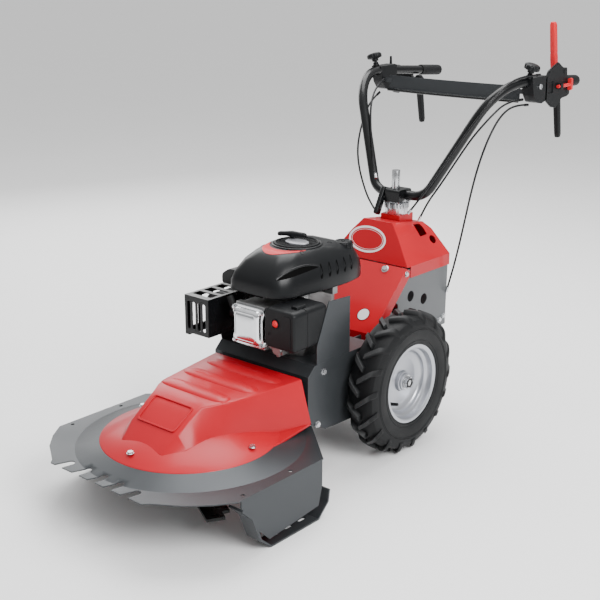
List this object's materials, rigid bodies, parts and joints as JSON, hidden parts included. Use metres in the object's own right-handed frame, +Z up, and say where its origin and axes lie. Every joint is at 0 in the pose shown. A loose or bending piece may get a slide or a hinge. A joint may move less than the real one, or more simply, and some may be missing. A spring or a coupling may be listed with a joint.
{
  "type": "brush mower",
  "caption": "Walk-behind two-wheeled brush mower: comb-fronted rotary deck on skids, upright engine, hooded drive housing and a bow handlebar that swings and tilts.",
  "frame": {"origin": "on the ground under the middle of the machine's length", "axes": "+Z up, -Y towards the cutting deck, +X the left side of the person holding the bars"},
  "size_m": [0.65, 1.7544, 1.144],
  "materials": {
    "red_paint": "gloss",
    "red_cover": "gloss",
    "dark_paint": "satin",
    "grey_paint": "satin",
    "black_paint": "gloss",
    "black_plastic": "matte",
    "red_plastic": "gloss",
    "rubber": "matte",
    "tyre": "matte",
    "silver_paint": "satin",
    "steel": "satin",
    "zinc": "satin",
    "cast_alu": "satin",
    "cast_iron": "matte",
    "bronze": "satin"
  },
  "bodies": {
    "chassis": {"deck_shell": "dark_paint", "deck_cover": "red_cover", "skids": "dark_paint", "spindle_housing": "cast_iron", "ball_bearings": "steel", "hex_bolts": "zinc", "drive_belts": "rubber", "engine_frame": "dark_paint", "engine_guard": "dark_paint", "gearbox_housing": "cast_iron", "rear_housing": "grey_paint", "lower_panel": "red_paint", "top_cover": "red_paint", "steering_bracket": "red_paint", "engine_block": "cast_alu", "valve_cover": "cast_alu", "blower_housing": "black_plastic", "recoil_cover": "black_plastic", "fuel_tank": "black_plastic", "air_filter_box": "black_plastic", "carburettor": "cast_alu", "muffler": "steel", "muffler_guard": "black_paint", "spark_plug": "rubber"},
    "blade_rotor": {"spindle_shaft": "steel", "spindle_pulley": "steel", "cutter_blade": "black_paint", "blade_bolt": "steel"},
    "crank": {"crankshaft": "steel", "engine_pulley": "steel", "flywheel": "cast_alu"},
    "tensioner": {"belt_tensioner": "steel"},
    "worm_input": {"worm_shaft": "steel", "input_pulley": "steel"},
    "wheelset": {"axle_shaft": "steel", "wheel_rims": "silver_paint", "tyres": "tyre", "hub_nuts": "black_paint", "worm_wheel": "bronze"},
    "reel": {"starter_reel": "black_plastic"},
    "starter_grip": {"starter_handle": "black_plastic"},
    "tank_cap": {"fuel_cap": "black_plastic"},
    "primer": {"primer_bulb": "red_plastic"},
    "column": {"steering_head": "zinc", "clamp_rod": "zinc"},
    "clamp": {"clamp_lever": "black_paint"},
    "handlebar": {"handlebar_tube": "black_paint", "grips": "rubber", "cross_plate": "dark_paint", "lever_bracket_left": "black_plastic", "lever_bracket_right": "black_plastic", "cables_far": "rubber", "cables_near": "rubber"},
    "knob_a": {"knob_left": "black_plastic"},
    "knob_b": {"knob_right": "black_plastic"},
    "clutch": {"clutch_lever": "black_plastic"},
    "drive": {"drive_lever": "black_plastic"},
    "red": {"red_lever": "red_plastic"},
    "lock": {"lock_button": "red_plastic"},
    "throttle": {"throttle_lever": "black_plastic"}
  },
  "joints": [
    {"name": "wheel_spin", "type": "hinge", "parent": "chassis", "child": "wheelset", "pos_m": [0, 0.02576, 0.203], "axis": [1, 0, 0], "continuous": true},
    {"name": "crank_spin", "type": "hinge", "parent": "chassis", "child": "crank", "pos_m": [0, -0.15424, 0.3], "axis": [0, 0, 1], "continuous": true},
    {"name": "blade_spin", "type": "hinge", "parent": "chassis", "child": "blade_rotor", "pos_m": [0, -0.56424, 0.1], "axis": [0, 0, 1], "continuous": true},
    {"name": "input_spin", "type": "hinge", "parent": "chassis", "child": "worm_input", "pos_m": [0, -0.05224, 0.2], "axis": [0, 0, 1], "continuous": true},
    {"name": "tension_swing", "type": "hinge", "parent": "chassis", "child": "tensioner", "pos_m": [0.112, -0.34624, 0.218], "axis": [0, 0, 1], "range_deg": [-10, 0]},
    {"name": "starter_pull", "type": "slide", "parent": "chassis", "child": "starter_grip", "axis": [0, 0, 1], "range_m": [0, 0.2], "stiffness_N_per_m": 60},
    {"name": "reel_spin", "type": "hinge", "parent": "chassis", "child": "reel", "pos_m": [0, -0.15424, 0.568], "axis": [0, 0, 1], "range_deg": [0, 360]},
    {"name": "fuel_cap_turn", "type": "hinge", "parent": "chassis", "child": "tank_cap", "pos_m": [0.062, -0.03424, 0.575], "axis": [0, 0, 1], "range_deg": [0, 90]},
    {"name": "primer_press", "type": "slide", "parent": "chassis", "child": "primer", "axis": [0, 1, 0], "range_m": [0, 0.006], "stiffness_N_per_m": 800},
    {"name": "bar_yaw", "type": "hinge", "parent": "chassis", "child": "column", "pos_m": [0, 0.29776, 0.6], "axis": [0, 0, 1], "range_deg": [-30, 30], "deforming": ["cables_far", "cables_near"]},
    {"name": "bar_height", "type": "hinge", "parent": "column", "child": "handlebar", "pos_m": [0, 0.31076, 0.655], "axis": [1, 0, 0], "range_deg": [-12, 12], "deforming": ["cables_far", "cables_near"]},
    {"name": "clamp_swing", "type": "hinge", "parent": "column", "child": "clamp", "pos_m": [-0.035, 0.28176, 0.668], "axis": [-1, 0, 0], "range_deg": [0, 80]},
    {"name": "clutch_squeeze", "type": "hinge", "parent": "handlebar", "child": "clutch", "pos_m": [0.254, 0.75976, 0.94], "axis": [1, 0, 0], "range_deg": [0, 68], "stiffness_Nm_per_rad": 1.2, "springref_deg": -22.92},
    {"name": "drive_squeeze", "type": "hinge", "parent": "handlebar", "child": "drive", "pos_m": [-0.254, 0.75976, 0.94], "axis": [1, 0, 0], "range_deg": [0, 68], "stiffness_Nm_per_rad": 1.2, "springref_deg": -22.92},
    {"name": "red_press", "type": "hinge", "parent": "handlebar", "child": "red", "pos_m": [0.254, 0.73776, 0.998], "axis": [-1, 0, 0], "range_deg": [0, 75], "stiffness_Nm_per_rad": 1.2, "springref_deg": -22.92},
    {"name": "lock_push", "type": "slide", "parent": "handlebar", "child": "lock", "axis": [0, -1, 0], "range_m": [0, 0.008], "stiffness_N_per_m": 300},
    {"name": "throttle_swing", "type": "hinge", "parent": "handlebar", "child": "throttle", "pos_m": [-0.3, 0.66576, 0.975], "axis": [1, 0, 0], "range_deg": [-30, 30]},
    {"name": "knob_left_turn", "type": "hinge", "parent": "handlebar", "child": "knob_a", "pos_m": [0.275, 0.54976, 0.998], "axis": [0.3011, 0, 0.9536], "range_deg": [-180, 180]},
    {"name": "knob_right_turn", "type": "hinge", "parent": "handlebar", "child": "knob_b", "pos_m": [-0.275, 0.54976, 0.998], "axis": [-0.3011, 0, 0.9536], "range_deg": [-180, 180]}
  ],
  "couplings": [
    {"joint": "blade_spin", "follows": "crank_spin", "ratio": 0.9},
    {"joint": "input_spin", "follows": "wheel_spin", "ratio": 30},
    {"joint": "tension_swing", "follows": "clutch_squeeze", "ratio": -0.14},
    {"joint": "reel_spin", "follows": "starter_pull", "rad_per_m": 29.41}
  ]
}
